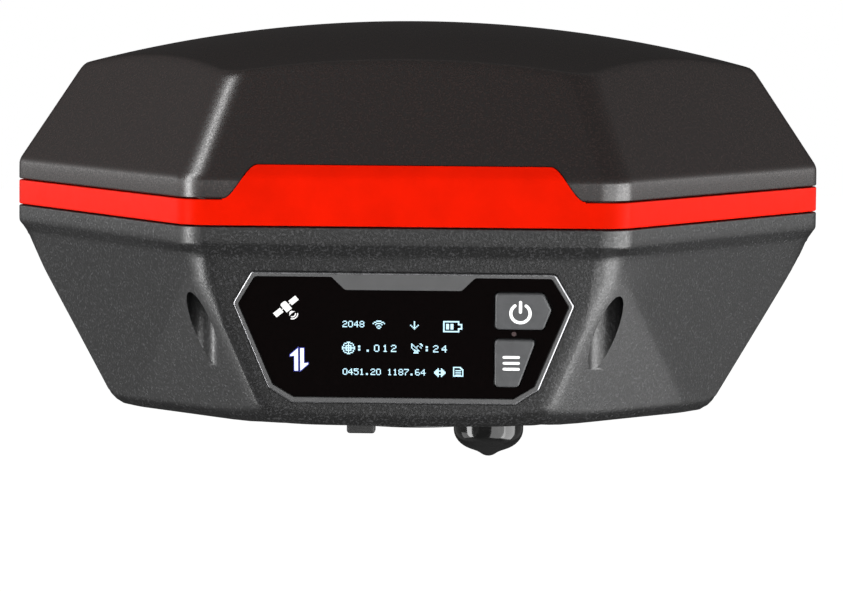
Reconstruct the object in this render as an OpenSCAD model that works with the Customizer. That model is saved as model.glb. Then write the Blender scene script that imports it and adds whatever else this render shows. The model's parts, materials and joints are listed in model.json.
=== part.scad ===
// GNSS survey receiver: a six-sided smart antenna that screws onto a survey pole.
// Millimetres. The origin is the mouth of the pole thread, +Z is up, the display faces -Y.

/* [Housing] */
// Sharp corner radius of the six-sided plan at the rims
rim_r = 77.6; // [74:0.2:82]
// Plan fillet at the corners of the rims
rim_fillet = 7; // [4:0.5:10]
// Wall thickness of the lower housing and of the cover
wall = 2.6; // [2.2:0.1:3.2]
// Height of the flat underside above the thread mouth
base_z = 4.8; // [4:0.1:6]
// Height of the knee where the lower faces begin
knee_z = 35.9; // [35:0.1:37]
// Apothem of the lower faces at the knee
knee_apothem = 65.7; // [64:0.1:67]
// Overhang of the six lower faces, degrees from vertical
face_tilt = 12; // [8:0.5:16]
// Height of the parting line between the lower housing and the red band
parting_z = 41.2; // [40:0.1:43]

/* [Cover] */
// Height of the coloured band
band_h = 4.85; // [4:0.05:6]
// Height of the upright lip of the cover above the band
lip_h = 3.7; // [3:0.1:5]
// Slope of the cover's corner ridges, degrees from vertical
ridge_tilt = 33.8; // [30:0.1:37]
// Height of the crown of the domed roof
crown_z = 76.9; // [75:0.1:79]
// Radius of the domed roof
dome_r = 245; // [220:1:270]
// Half width of the raised front section of the band along its top
tab_half_w = 26; // [22:0.5:30]
// Rise of that raised section above the band
tab_rise = 6.1; // [5:0.1:8]

/* [Display panel] */
// Height of the panel's centre
panel_z = 20.8; // [20:0.1:21.5]
// Button travel
key_travel = 0.6; // [0.4:0.1:0.7]
// Gap around each key
key_gap = 0.25; // [0.2:0.05:0.4]

/* [Pole mount] */
// Major radius of the 5/8 inch thread, cut plain
thread_r = 7.94; // [7.9:0.01:8]
// Depth of the blind threaded hole
thread_depth = 16; // [14:0.5:17]
// Radius of the moulded boss around the insert
boss_r = 13.3; // [12.5:0.1:15]

/* [Antenna connector] */
// Connector position along X
jack_x = 14.7; // [14:0.1:16]
// Connector position along Y
jack_y = -28; // [-30:0.5:-27]
// Outside radius of the dust cap
cap_r = 6.5; // [6.3:0.1:7]

/* [Internals] */
// Radius of one battery cell
cell_r = 9.2; // [9:0.1:9.3]
// Length of one battery cell
cell_len = 65; // [60:1:66]
// Height of the main board's underside
board_z = 30.4; // [30:0.1:31]
// Height of the antenna ground plane's underside
plane_z = 53; // [51:0.5:54]

/* [Hidden] */
$fn = 48;
COS30 = cos(30);
band_top = parting_z + band_h;
lip_top = band_top + lip_h;
cover_top_z = 78;                       // where the slopes end, above the domed roof
skirt_r = rim_r - 3.6;                  // the cover's inner skirt behind the band
skirt_t = 3.2;
rim_z = 38;                             // where the lower rim's wall begins, above the knee
board_post_r = 3.2;
well_wall = 1.6;
port_post_r = 2.4;
gasket_h = 1.2;
gasket_w = 2;
gasket_gap = 0.1;
gasket_z = parting_z - 0.8;
floor_z = base_z + 2.8;
tab_t = 1.4;                            // thickness of the band's raised section
tab_run = 6.3;                          // width of the S-curve at each end of it
corner_tilt = 24.6;                     // facets between the front or back face and its neighbours
corner_az = 48.7;
corner_apothem = 71.9;
side_tilt = 32.7;                       // facets at the left and right corners
side_apothem = 75.6;
well_x = 36.15;                         // the four housing screws
well_y = 58.25;
well_r = 3.1;
well_seat_z = 34;
foot_r = 57.6;                          // the flat underside, then a shallow curve
foot_curve = 15;
face_run = tan(face_tilt);
panel_apothem = knee_apothem - face_run * (knee_z - panel_z);
board_t = 1.6;
board_top = board_z + board_t;
post_x = 26;                            // the main board's four posts
post_y = 40;
pillar_xy = 30;                         // the antenna's four pillars
pillar_r = 2.75;
plane_t = 1.5;
lower_patch_h = 6.4;
shield_h = 4.4;                         // the amplifier's screening can under the ground plane
gnss_h = 3.4;
cell_x = 34;
cell_z = floor_z + 1.6 + cell_r;
bezel_ledge = 1.2;
key_top = 0.8;                          // how far the keys stand above the panel plane
key_chamfer = 0.25;
key_flange = 0.55;                      // width and thickness of the flange behind the window
port_x = -8.3;
port_y = -39;
port_hinge_y = -31.6;
port_hinge_z = 5.8;
port_board_z = 14.6;
port_post_x = 9;                        // the port board's two posts, from its middle
seat_w = 14.4;                          // the square seat around the port's cover
flap_gap = 0.4;
insert_r = 11;
insert_flange_r = 19;
insert_pad_z = 10.6;
insert_screw_r = 15.2;
jack_r = 5.5;
jack_recess_r = 8.3;
jack_recess_z = 8.3;
jack_boss_r = 9.5;
jack_pad_z = 11.1;
jack_tip_z = 0.6;
jack_top_z = 13.1;                      // where the connector's shoulder ends
jack_bore_z = 7.5;                      // the closed end of its socket
washer_t = 0.5;
pigtail_z = 17;                         // where the inner lead leaves the connector
cap_gap = 0.1;                          // between the dust cap and the connector
wire_r = 0.9;
pilot_r = 1.25;                         // pilot holes and shanks of the larger screws
lamp_u = 19.75;                         // the charge lamp, in the panel's frame
lamp_v = 1.4;
key_back = -1.9;                        // underside of the keys' flanges

// ---------- shared shapes ----------

// One rounded six-sided ring: r is the sharp corner radius, f the corner fillet.
function hex_ring(r, f, n = 5) = [for (side = [0:5], i = [0:n])
  let (c = r - f / COS30, a = 60 * side - 30 + 60 * i / n)
  [c * cos(60 * side) + f * cos(a), c * sin(60 * side) + f * sin(a)]];

// A closed solid through rings given as [z, corner radius, fillet], lowest first.
module hex_loft(levels) {
  rings = [for (l = levels) hex_ring(l[1], l[2])];
  n = len(rings[0]);
  last = len(levels) - 1;
  points = [for (k = [0:last], p = rings[k]) [p[0], p[1], levels[k][0]]];
  sides = [for (k = [0:last - 1], i = [0:n - 1])
    [k * n + i, (k + 1) * n + i, (k + 1) * n + (i + 1) % n, k * n + (i + 1) % n]];
  polyhedron(points, concat([[for (i = [0:n - 1]) i]], sides, [[for (i = [n - 1:-1:0]) last * n + i]]));
}

// Everything outside one slanted facet of the lower housing, moved inwards by inset.
module facet_cut(azimuth, tilt, apothem, inset) {
  rotate([0, 0, azimuth - 90]) translate([apothem, 0, knee_z]) rotate([0, tilt, 0])
    translate([-inset, -60, -70]) cube([60, 120, 140]);
}

// The faceted body of the lower housing below the knee, shrunk by inset.
module lower_form(inset) {
  low_apothem = knee_apothem - face_run * (knee_z - base_z);
  difference() {
    hex_loft([[base_z + inset, (low_apothem - inset) / COS30, 4],
              [knee_z, (knee_apothem - inset) / COS30, 4]]);
    for (azimuth = [corner_az, -corner_az, 180 - corner_az, 180 + corner_az])
      facet_cut(azimuth, corner_tilt, corner_apothem, inset);
    for (azimuth = [90, -90]) facet_cut(azimuth, side_tilt, side_apothem, inset);
  }
}

// The round, shallow curve that trims the underside.
module foot_form() {
  curve = [for (x = [0:1.5:12]) [foot_r + x, base_z + x * x / (2 * foot_curve)]];
  rotate_extrude($fn = 96) polygon(concat([[0, base_z]], curve, [[foot_r + 20, parting_z], [0, parting_z]]));
}

// The cover's body: upright lip, six slopes and a domed roof, shrunk by inset.
module cover_form(inset, bottom = band_top) {
  side = inset / COS30;
  slope = tan(ridge_tilt);
  top_r = rim_r - slope * (cover_top_z - lip_top);
  intersection() {
    hex_loft([[bottom, rim_r - side, rim_fillet - inset], [lip_top, rim_r - side, rim_fillet - inset],
              [cover_top_z, top_r - side, rim_fillet - inset]]);
    translate([0, 0, crown_z - dome_r]) sphere(r = dome_r - inset, $fn = 160);
  }
}

module hex_band(r_out, r_in, z, h, f = rim_fillet) {
  difference() {
    hex_loft([[z, r_out, f], [z + h, r_out, f]]);
    hex_loft([[z - 1, r_in, max(1, f - r_out + r_in)], [z + h + 1, r_in, max(1, f - r_out + r_in)]]);
  }
}

// Local frame of the front panel: x across, y up the face, z out of it.
module on_panel() {
  translate([0, -panel_apothem, panel_z]) rotate([90 + face_tilt, 0, 0]) children();
}

// A plate in the panel frame between two heights.
module plate(z0, z1) { translate([0, 0, z0]) linear_extrude(z1 - z0) children(); }

module panel_outline(grow) {
  offset(r = 1 + grow, $fn = 24) offset(delta = -1)
    polygon([[-27.1, 12.6], [-30.5, 6.7], [-24.25, -9.15], [-20.1, -11.9],
             [20.1, -11.9], [24.25, -9.15], [30.5, 6.7], [27.1, 12.6]]);
}

module window_outline(grow) {
  difference() {
    offset(r = 1 + grow, $fn = 24) offset(delta = -1)
      polygon([[-26.55, 11.8], [-29.65, 6.6], [-23.6, -8.4], [-19.75, -10.8],
               [19.75, -10.8], [23.6, -8.4], [29.65, 6.6], [26.55, 11.8]]);
    offset(delta = -grow) polygon([[-13, 14], [-12.8, 11.8], [-10.4, 9.4], [10.4, 9.4],
                                   [12.8, 11.8], [13, 14]]);
  }
}

module power_outline(grow) {
  offset(r = 0.8 + grow, $fn = 24) offset(delta = -0.8)
    polygon([[16.4, 9], [24.95, 9], [26.4, 6.05], [25, 2.35], [16.4, 2.35]]);
}

module fn_outline(grow) {
  offset(r = 0.8 + grow, $fn = 24) offset(delta = -0.8)
    polygon([[16.35, 0.4], [23.7, 0.4], [20.6, -8.4], [16.35, -8.4]]);
}

// A cap screw standing on z = 0, head up, shank down.
module screw(head_r, head_h, shank_r, shank_len) {
  difference() {
    union() {
      cylinder(r = head_r, h = head_h, $fn = 32);
      translate([0, 0, -shank_len]) cylinder(r = shank_r, h = shank_len, $fn = 32);
    }
    translate([0, 0, head_h * 0.4]) cylinder(r = head_r * 0.5, h = head_h, $fn = 6);
  }
}

module four(x, y) { for (sx = [-1, 1], sy = [-1, 1]) translate([sx * x, sy * y, 0]) children(); }

// ---------- a round lead swept along its route ----------

function unit(v) = v / norm(v);

// A point on the smooth curve through a route, at parameter t from 0 to the last index.
function route_at(p, t) =
  let (last = len(p) - 1, i = min(floor(t), last - 1), u = t - i,
       a = p[max(i - 1, 0)], b = p[i], c = p[i + 1], d = p[min(i + 2, last)])
  0.5 * (2 * b + (c - a) * u + (2 * a - 5 * b + 4 * c - d) * u * u + (3 * b - a - 3 * c + d) * u * u * u);

module lead(route, r, rings_per_span = 3, n = 8) {
  last = (len(route) - 1) * rings_per_span;
  mid = [for (k = [0:last]) route_at(route, k / rings_per_span)];
  end = len(route) - 1;
  dir = [for (k = [0:last]) unit(k == 0 ? route[1] - route[0] : k == last ? route[end] - route[end - 1] :
    mid[k + 1] - mid[k - 1])];
  up = [for (d = dir) unit(cross(d, [0.31, 0.95, 0.05]))];
  points = [for (k = [0:last], i = [0:n - 1]) let (side = cross(dir[k], up[k]), a = 360 * i / n)
    mid[k] + r * (cos(a) * up[k] + sin(a) * side)];
  sides = [for (k = [0:last - 1], i = [0:n - 1])
    [k * n + i, k * n + (i + 1) % n, (k + 1) * n + (i + 1) % n, (k + 1) * n + i]];
  polyhedron(points, concat([[for (i = [n - 1:-1:0]) i]], sides, [[for (i = [0:n - 1]) last * n + i]]));
}

// ---------- housing ----------

module bottom_housing() {
  color([0.20, 0.20, 0.21]) difference() {
    union() {
      intersection() {
        lower_form(0);
        foot_form();
      }
      hex_loft([[knee_z, knee_apothem / COS30, 4.5], [rim_z, rim_r, rim_fillet],
                [parting_z, rim_r, rim_fillet]]);
      cylinder(r = boss_r, h = floor_z);
    }
    difference() {
      union() {
        lower_form(wall);
        hex_loft([[knee_z - 0.01, (knee_apothem - wall) / COS30, 4], [parting_z + 1, rim_r - 7, 4]]);
      }
      cylinder(r = insert_flange_r + 0.5, h = insert_pad_z);
      translate([jack_x, jack_y, 0]) cylinder(r = jack_boss_r, h = jack_pad_z);
      four(post_x, post_y) cylinder(r = board_post_r, h = board_z);
      four(well_x, well_y) cylinder(r = well_r + well_wall, h = parting_z);
      for (sx = [-1, 1]) translate([port_x + sx * port_post_x, port_y, 0])
        cylinder(r = port_post_r, h = port_board_z);
      panel_frame();
    }
    translate([0, 0, -1]) cylinder(r = insert_r, h = 20);
    for (a = [45:90:315]) rotate(a) translate([insert_screw_r, 0, 6]) cylinder(r = pilot_r, h = 10);
    translate([jack_x, jack_y, base_z - 1]) cylinder(r = jack_recess_r, h = jack_recess_z - base_z + 1);
    translate([jack_x, jack_y, 0]) cylinder(r = jack_r, h = 20);
    four(post_x, post_y) translate([0, 0, board_z - 9]) cylinder(r = pilot_r, h = 10);
    four(well_x, well_y) {
      translate([0, 0, -1]) cylinder(r = well_r, h = well_seat_z + 1);
      cylinder(r = 1.7, h = parting_z + 1);
    }
    for (sx = [-1, 1]) translate([port_x + sx * port_post_x, port_y, port_board_z - 5])
      cylinder(r = 0.9, h = 6);
    port_recess();
    on_panel() {
      plate(-2.3, 5) panel_outline(0.05);
      plate(-12, 5) panel_outline(-1.6);
    }
    gasket_ring(gasket_gap, 3);
  }
}

// A thickened frame of wall behind the display panel.
module panel_frame() {
  on_panel() plate(-4.2, 0) panel_outline(2.2);
}

// A rod on the port cover's hinge line.
module hinge_rod(r, h) {
  translate([port_x, port_hinge_y, port_hinge_z]) rotate([0, 90, 0]) cylinder(r = r, h = h, center = true);
}

// The hollow around the data port: a shallow seat for its cover, and the socket's hole.
module port_recess() {
  seat_z = base_z + 1.6;
  translate([port_x - seat_w / 2, port_y - seat_w / 2, base_z - 1]) cube([seat_w, 16, seat_z - base_z + 1]);
  translate([port_x - seat_w / 2, port_hinge_y - 1.5, base_z - 1]) cube([seat_w, 3, 3.2]);
  translate([port_x - 5.5, port_y - 2.9, 0]) cube([11, 5.8, 12]);
  hinge_rod(0.5, 17.2);
}

module top_cover() {
  color([0.13, 0.13, 0.14]) difference() {
    union() {
      cover_form(0);
      hex_loft([[parting_z + 0.4, skirt_r, 4], [band_top, skirt_r, 4]]);
    }
    difference() {
      union() {
        cover_form(wall);
        hex_loft([[parting_z, skirt_r - skirt_t, 2], [band_top + 0.5, skirt_r - skirt_t, 2]]);
      }
      intersection() {
        four(well_x, well_y) translate([0, 0, parting_z + 0.4]) cylinder(r = 4, h = 16);
        cover_form(1, parting_z);
      }
    }
    four(well_x, well_y) translate([0, 0, parting_z]) cylinder(r = pilot_r, h = 12);
    intersection() {
      tab_prism();
      difference() {
        translate([-50, -90, band_top]) cube([100, 60, 20]);
        cover_form(tab_t);
      }
    }
  }
}

// The outline of the band's raised section, drawn through the front of the cover.
module tab_prism() {
  function ease(t) = t * t * (3 - 2 * t);
  right = [for (t = [0:0.125:1]) [tab_half_w + tab_run * (1 - t), band_top + tab_rise * ease(t)]];
  left = [for (i = [len(right) - 1:-1:0]) [-right[i][0], right[i][1]]];
  translate([0, -40, 0]) rotate([90, 0, 0]) linear_extrude(45) polygon(concat(right, left));
}

module bumper_band() {
  color([0.93, 0.15, 0.06]) {
    hex_band(rim_r, skirt_r + 0.1, parting_z, band_h);
    intersection() {
      tab_prism();
      difference() {
        cover_form(0);
        cover_form(tab_t);
      }
    }
  }
}

// The seal under the cover's skirt, and with a gap the groove that it lies in.
module gasket_ring(gap, h) {
  hex_band(skirt_r - 0.3 + gap, skirt_r - 0.3 - gasket_w - gap, gasket_z, h, 4);
}

module housing_gasket() { color([0.08, 0.08, 0.08]) gasket_ring(0, gasket_h); }

module housing_screws() {
  color([0.7, 0.7, 0.72]) four(well_x, well_y) translate([0, 0, well_seat_z])
    mirror([0, 0, 1]) screw(2.7, 2.4, pilot_r, 16);
}

// ---------- front panel ----------

// The bezel frames the window and carries it on a ledge.
module display_bezel() {
  color([0.55, 0.56, 0.58]) on_panel() difference() {
    plate(-2.2, 0.4) panel_outline(0);
    plate(-1.15, 1) window_outline(0);
    plate(-3, 0) window_outline(-bezel_ledge);
  }
}

module display_window() {
  color([0.02, 0.02, 0.02]) on_panel() plate(-1.1, 0.1) difference() {
    window_outline(-0.03);
    power_outline(key_gap);
    fn_outline(key_gap);
    translate([lamp_u, lamp_v]) circle(r = 0.5, $fn = 24);
  }
}

module display_panel() {
  color([0.05, 0.08, 0.12]) on_panel() translate([-13.7, -9.2, -2.9]) cube([26.7, 17, 1.5]);
}

module display_pad() {
  color([0.15, 0.15, 0.15]) on_panel() translate([-13, -8.8, -4.5]) difference() {
    cube([25.4, 16.2, 1.5]);
    translate([2, 2, -1]) cube([21.4, 12.2, 4]);
  }
}

module display_board() {
  color([0.05, 0.30, 0.16]) on_panel() translate([-25, -10.4, -5.8]) cube([50, 20.6, 1.2]);
}

module key_switches() {
  color([0.75, 0.75, 0.77]) on_panel() for (p = [[20.8, 5.7], [19.2, -3.9]]) translate([p[0], p[1], -4.5]) {
    translate([-2.2, -2.2, 0]) cube([4.4, 4.4, 0.8]);
    cylinder(r = 1, h = 1.1, $fn = 24);
  }
}

module key_seal() {
  color([0.3, 0.3, 0.3]) on_panel() plate(key_back - key_travel - 0.7, key_back - key_travel - 0.25) difference() {
    polygon([[14.6, 9.8], [25.2, 9.8], [26.6, 6], [21.7, -8.9], [14.6, -8.9]]);
    translate([lamp_u, lamp_v]) circle(r = 0.7, $fn = 24);
  }
}

module light_guides() {
  color([0.85, 0.9, 0.95]) on_panel() {
    for (p = [[-20.8, 5.7], [-18.9, -3.8]]) translate([p[0] - 2.2, p[1] - 2.2, -4.5]) cube([4.4, 4.4, 3.3]);
    translate([lamp_u, lamp_v, -4.5]) cylinder(r = 0.48, h = 4.5, $fn = 24);
  }
}

module display_ribbon() {
  color([0.85, 0.55, 0.15]) translate([-6, 0, 0]) rotate([90, 0, 90]) linear_extrude(12)
    polygon([[-57, 24], [-54, 24], [-50, 26.5], [-47, board_z], [-42, board_z], [-42, board_z - 0.3],
             [-46.8, board_z - 0.3], [-49.8, 26.2], [-53.9, 23.7], [-57, 23.7]]);
}

// The two keys share one form: a cap that stands through the window on a flanged foot.
module key() {
  on_panel() {
    plate(key_back, key_top - key_chamfer) children();
    plate(key_top - key_chamfer, key_top) offset(delta = -key_chamfer) children();
    plate(key_back, key_back + key_flange) difference() {
      offset(delta = key_flange) children();
      translate([lamp_u, lamp_v]) circle(r = 0.9, $fn = 24);
    }
  }
}

module power_button() { color([0.36, 0.37, 0.38]) key() power_outline(0); }

module fn_button() { color([0.36, 0.37, 0.38]) key() fn_outline(0); }

// ---------- electronics ----------

module main_board() {
  color([0.06, 0.32, 0.18]) difference() {
    translate([0, 0, board_z]) cylinder(r = 57, h = board_t, $fn = 6);
    four(post_x, post_y) cylinder(r = 1.5, h = 60, $fn = 24);
    four(pillar_xy, pillar_xy) cylinder(r = 1.5, h = 60, $fn = 24);
  }
}

module gnss_module() {
  color([0.72, 0.73, 0.74]) translate([-22, 4, board_top]) cube([31, 30, gnss_h]);
}

module processor_module() {
  color([0.6, 0.62, 0.64]) translate([-22, -26, board_top]) cube([26, 22, 2.6]);
}

module radio_module() {
  color([0.78, 0.78, 0.76]) translate([14, -26, board_top]) cube([22, 34, 4.2]);
}

module tilt_sensor() {
  color([0.12, 0.12, 0.13]) translate([16, 16, board_top]) cube([5, 5, 1.2]);
}

module beeper() {
  color([0.08, 0.08, 0.09]) translate([-38, -4, board_top]) difference() {
    cylinder(r = 6, h = 4.6);
    translate([0, 0, 3]) cylinder(r = 1.2, h = 3, $fn = 24);
  }
}

module wireless_antenna() {
  color([0.9, 0.9, 0.88]) translate([40, -6, board_top]) cube([3.2, 12, 1.6]);
}

module board_screws() {
  color([0.75, 0.75, 0.77]) four(post_x, post_y) translate([0, 0, board_top]) screw(2.4, 1.8, pilot_r, 8);
}

// ---------- antenna ----------

module feed_points() { for (p = [[5, 0], [0, 5]]) translate([p[0], p[1], 0]) children(); }

module ground_plane() {
  color([0.80, 0.81, 0.82]) difference() {
    translate([0, 0, plane_z]) cylinder(r = 48, h = plane_t, $fn = 96);
    four(pillar_xy, pillar_xy) cylinder(r = 1.5, h = 90, $fn = 24);
    feed_points() cylinder(r = 0.6, h = 90, $fn = 24);
  }
}

module antenna_patch_lower() {
  color([0.86, 0.83, 0.74]) difference() {
    translate([-25, -25, plane_z + plane_t]) cube([50, 50, lower_patch_h]);
    feed_points() cylinder(r = 0.6, h = 90, $fn = 24);
  }
}

module antenna_patch_upper() {
  color([0.82, 0.78, 0.68]) difference() {
    translate([-18, -18, plane_z + plane_t + lower_patch_h]) cube([36, 36, 5]);
    feed_points() cylinder(r = 0.6, h = 90, $fn = 24);
  }
}

module antenna_feed_pins() {
  color([0.85, 0.68, 0.25]) feed_points() translate([0, 0, plane_z]) {
    cylinder(r = 0.55, h = 13, $fn = 24);
    translate([0, 0, 12.9]) cylinder(r = 1.1, h = 0.5, $fn = 24);
  }
}

module lna_shield() {
  color([0.75, 0.76, 0.77]) translate([-18, -14, plane_z - shield_h]) cube([36, 28, shield_h]);
}

module antenna_pillars() {
  color([0.82, 0.66, 0.28]) four(pillar_xy, pillar_xy) difference() {
    translate([0, 0, board_top]) cylinder(r = pillar_r, h = plane_z - board_top, $fn = 6);
    translate([0, 0, plane_z - 8]) cylinder(r = pilot_r, h = 9, $fn = 24);
  }
}

module antenna_screws() {
  color([0.75, 0.75, 0.77]) four(pillar_xy, pillar_xy) translate([0, 0, plane_z + plane_t])
    screw(2.4, 1.8, pilot_r, 7);
}

module antenna_coax() {
  color([0.16, 0.16, 0.17]) lead([[-12, -6, plane_z - shield_h], [-12, -6, 45], [-16, 0, 41], [-24, 6, 39.5],
    [-24, 14, 39], [-16, 18, 38.5], [-10, 18, 37.5], [-10, 18, board_top + gnss_h]], wire_r);
}

// ---------- power ----------

module battery_cells() {
  color([0.16, 0.36, 0.62]) for (sx = [-1, 1]) translate([sx * cell_x, cell_len / 2, cell_z])
    rotate([90, 0, 0]) {
      cylinder(r = cell_r, h = cell_len, $fn = 64);
      translate([0, 0, -1]) cylinder(r = 3.2, h = 1.2, $fn = 32);
    }
}

module battery_cradle() {
  half_len = cell_len / 2;
  color([0.10, 0.10, 0.10]) for (sx = [-1, 1]) translate([sx * cell_x, 0, 0]) difference() {
    translate([-cell_r - 0.9, -half_len - 1.6, floor_z]) cube([2 * cell_r + 1.8, cell_len + 3.2, 10.8]);
    translate([0, half_len + 1.1, cell_z]) rotate([90, 0, 0]) cylinder(r = 3.4, h = 3, $fn = 32);
    translate([0, half_len + 0.1, cell_z]) rotate([90, 0, 0])
      cylinder(r = cell_r + 0.05, h = cell_len + 0.2, $fn = 64);
    translate([jack_x - sx * cell_x, jack_y, 0]) cylinder(r = jack_boss_r + 0.3, h = 30);
  }
}

module battery_lead() {
  color([0.75, 0.10, 0.08]) for (sx = [-1, 1])
    lead([[sx * 34, -34.1, 19], [sx * 34, -36.2, 19], [sx * 33.6, -37.4, 22], [sx * 33, -37, 26],
      [sx * 32.6, -36.4, 28.5], [sx * 32.6, -36.4, board_z]], wire_r);
}

// ---------- pole mount ----------

module mount_insert() {
  color([0.80, 0.64, 0.28]) difference() {
    union() {
      cylinder(r = insert_r, h = thread_depth + 2.5);
      translate([0, 0, insert_pad_z]) cylinder(r = insert_flange_r, h = 3);
    }
    translate([0, 0, -1]) cylinder(r = thread_r, h = thread_depth + 1, $fn = 96);
    for (a = [45:90:315]) rotate(a) translate([insert_screw_r, 0, 0]) cylinder(r = 1.6, h = 30, $fn = 24);
  }
}

module insert_screws() {
  color([0.7, 0.7, 0.72]) for (a = [45:90:315]) rotate(a)
    translate([insert_screw_r, 0, insert_pad_z + 3]) screw(2.6, 1.9, pilot_r, 7);
}

// ---------- radio antenna connector ----------

module antenna_connector() {
  color([0.82, 0.66, 0.30]) translate([jack_x, jack_y, 0]) difference() {
    union() {
      translate([0, 0, jack_tip_z]) cylinder(r = jack_r, h = jack_top_z - jack_tip_z);
      translate([0, 0, jack_pad_z]) cylinder(r = 8, h = jack_top_z - jack_pad_z, $fn = 6);
      translate([0, 0, jack_top_z - 0.1]) cylinder(r = 2.2, h = pigtail_z - jack_top_z + 0.1, $fn = 32);
    }
    translate([0, 0, jack_tip_z - 1]) cylinder(r = 4.3, h = jack_bore_z - jack_tip_z + 1);
  }
}

module connector_insulator() {
  color([0.92, 0.92, 0.90]) translate([jack_x, jack_y, 0]) {
    translate([0, 0, jack_bore_z - 4.5]) cylinder(r = 2.2, h = 4.5, $fn = 32);
    translate([0, 0, jack_bore_z - 6]) cylinder(r = 0.8, h = 2, $fn = 24);
  }
}

module connector_nut() {
  color([0.80, 0.68, 0.36]) translate([jack_x, jack_y, 0]) difference() {
    translate([0, 0, jack_recess_z - washer_t - 1.8]) cylinder(r = 8, h = 1.8, $fn = 6);
    cylinder(r = jack_r, h = 20);
  }
}

module connector_washer() {
  color([0.6, 0.6, 0.6]) translate([jack_x, jack_y, 0]) difference() {
    translate([0, 0, jack_recess_z - washer_t]) cylinder(r = 7.6, h = washer_t);
    cylinder(r = jack_r, h = 20);
  }
}

module connector_pigtail() {
  color([0.16, 0.16, 0.17]) lead([[jack_x, jack_y, pigtail_z], [jack_x, jack_y, 20], [12.5, -30, 23], [9, -33, 25],
    [7, -34, 28], [7, -34, board_z]], wire_r);
}

// A dipped vinyl cap: a thin cup with a domed end that runs out to a drip.
module connector_cap() {
  steps = [[-3.5, 0.4], [-2.9, 1.75], [-2.5, 2.5], [-1.7, 4.6], [-0.5, 6], [0.6, cap_r], [5.6, cap_r]];
  color([0.03, 0.03, 0.03]) translate([jack_x, jack_y, 0]) difference() {
    for (i = [0:len(steps) - 2]) translate([0, 0, steps[i][0]])
      cylinder(r1 = steps[i][1], r2 = steps[i + 1][1], h = steps[i + 1][0] - steps[i][0], $fn = 64);
    translate([0, 0, jack_tip_z - cap_gap]) cylinder(r = jack_r + cap_gap, h = 10);
  }
}

// ---------- data port ----------

module usb_socket() {
  color([0.72, 0.73, 0.75]) translate([port_x, port_y, 0]) difference() {
    translate([-4.5, -1.65, 8]) cube([9, 3.3, port_board_z - 8]);
    translate([-4.1, -1.25, 7]) cube([8.2, 2.5, 6]);
  }
}

module port_board() {
  color([0.06, 0.32, 0.18]) translate([port_x, port_y, port_board_z]) difference() {
    translate([-11.5, -7, 0]) cube([23, 14, 1.2]);
    for (sx = [-1, 1]) translate([sx * port_post_x, 0, -1]) cylinder(r = 1.1, h = 4, $fn = 24);
  }
}

module port_board_screws() {
  color([0.75, 0.75, 0.77]) for (sx = [-1, 1]) translate([port_x + sx * port_post_x, port_y, port_board_z + 1.2])
    screw(1.9, 1.4, 0.9, 5);
}

module port_cable() {
  color([0.2, 0.2, 0.22]) lead([[port_x - 3, port_y + 3, port_board_z + 1.2], [port_x - 3, port_y + 3, 20],
    [-13, -33, 25], [-14, -31, 28.5], [-14, -31, board_z]], wire_r);
}

module cover_hinge_pin() { color([0.7, 0.7, 0.72]) hinge_rod(0.5, 16.8); }

// The sealed flap over the port: plate, hinge knuckle, plug and a grip that hangs below the base.
module port_cover() {
  flap_w = seat_w - 2 * flap_gap;
  color([0.05, 0.05, 0.05]) difference() {
    union() {
      translate([port_x - flap_w / 2, port_y - flap_w / 2, base_z + 0.05]) cube([flap_w, 14.2, 1.25]);
      hinge_rod(1.1, flap_w);
      translate([port_x - 4.9, port_y - 2.2, base_z + 1.2]) cube([9.8, 4.4, 1.7]);
      translate([port_x - 2.6, port_y - flap_w / 2, 2.2]) cube([5.2, 3.2, base_z - 2]);
    }
    hinge_rod(0.55, 20);
  }
}

bottom_housing();
top_cover();
bumper_band();
housing_gasket();
housing_screws();
display_bezel();
display_window();
display_panel();
display_pad();
display_board();
key_switches();
key_seal();
light_guides();
display_ribbon();
main_board();
gnss_module();
processor_module();
radio_module();
tilt_sensor();
beeper();
wireless_antenna();
board_screws();
ground_plane();
antenna_patch_lower();
antenna_patch_upper();
antenna_feed_pins();
lna_shield();
antenna_pillars();
antenna_screws();
antenna_coax();
battery_cells();
battery_cradle();
battery_lead();
mount_insert();
insert_screws();
antenna_connector();
connector_insulator();
connector_nut();
connector_washer();
connector_pigtail();
usb_socket();
port_board();
port_board_screws();
port_cable();
cover_hinge_pin();
power_button();
fn_button();
connector_cap();
port_cover();
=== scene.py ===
"""A six-sided GNSS survey receiver: detailed shells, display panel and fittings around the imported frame."""
import json
from math import atan2, cos, degrees, pi, radians, sin, sqrt, tan, tau

import bmesh
import bpy
from mathutils import Matrix, Vector


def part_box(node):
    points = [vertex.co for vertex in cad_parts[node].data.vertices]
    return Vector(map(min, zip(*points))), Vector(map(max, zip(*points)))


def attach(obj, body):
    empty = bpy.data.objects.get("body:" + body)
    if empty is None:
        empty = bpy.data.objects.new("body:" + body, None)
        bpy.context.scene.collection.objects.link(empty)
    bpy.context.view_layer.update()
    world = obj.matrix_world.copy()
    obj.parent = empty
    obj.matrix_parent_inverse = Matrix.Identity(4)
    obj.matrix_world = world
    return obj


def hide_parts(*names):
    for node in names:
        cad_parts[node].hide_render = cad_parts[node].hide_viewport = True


scene = bpy.context.scene
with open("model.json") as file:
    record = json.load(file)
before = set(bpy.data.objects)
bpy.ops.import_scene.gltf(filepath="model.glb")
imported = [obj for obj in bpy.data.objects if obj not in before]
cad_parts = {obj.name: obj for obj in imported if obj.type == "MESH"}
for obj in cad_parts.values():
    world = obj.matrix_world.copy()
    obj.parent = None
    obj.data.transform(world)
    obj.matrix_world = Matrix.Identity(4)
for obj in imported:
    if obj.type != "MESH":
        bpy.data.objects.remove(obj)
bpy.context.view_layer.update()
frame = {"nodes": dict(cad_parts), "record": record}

MM = 0.001
COS30 = cos(radians(30))
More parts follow.
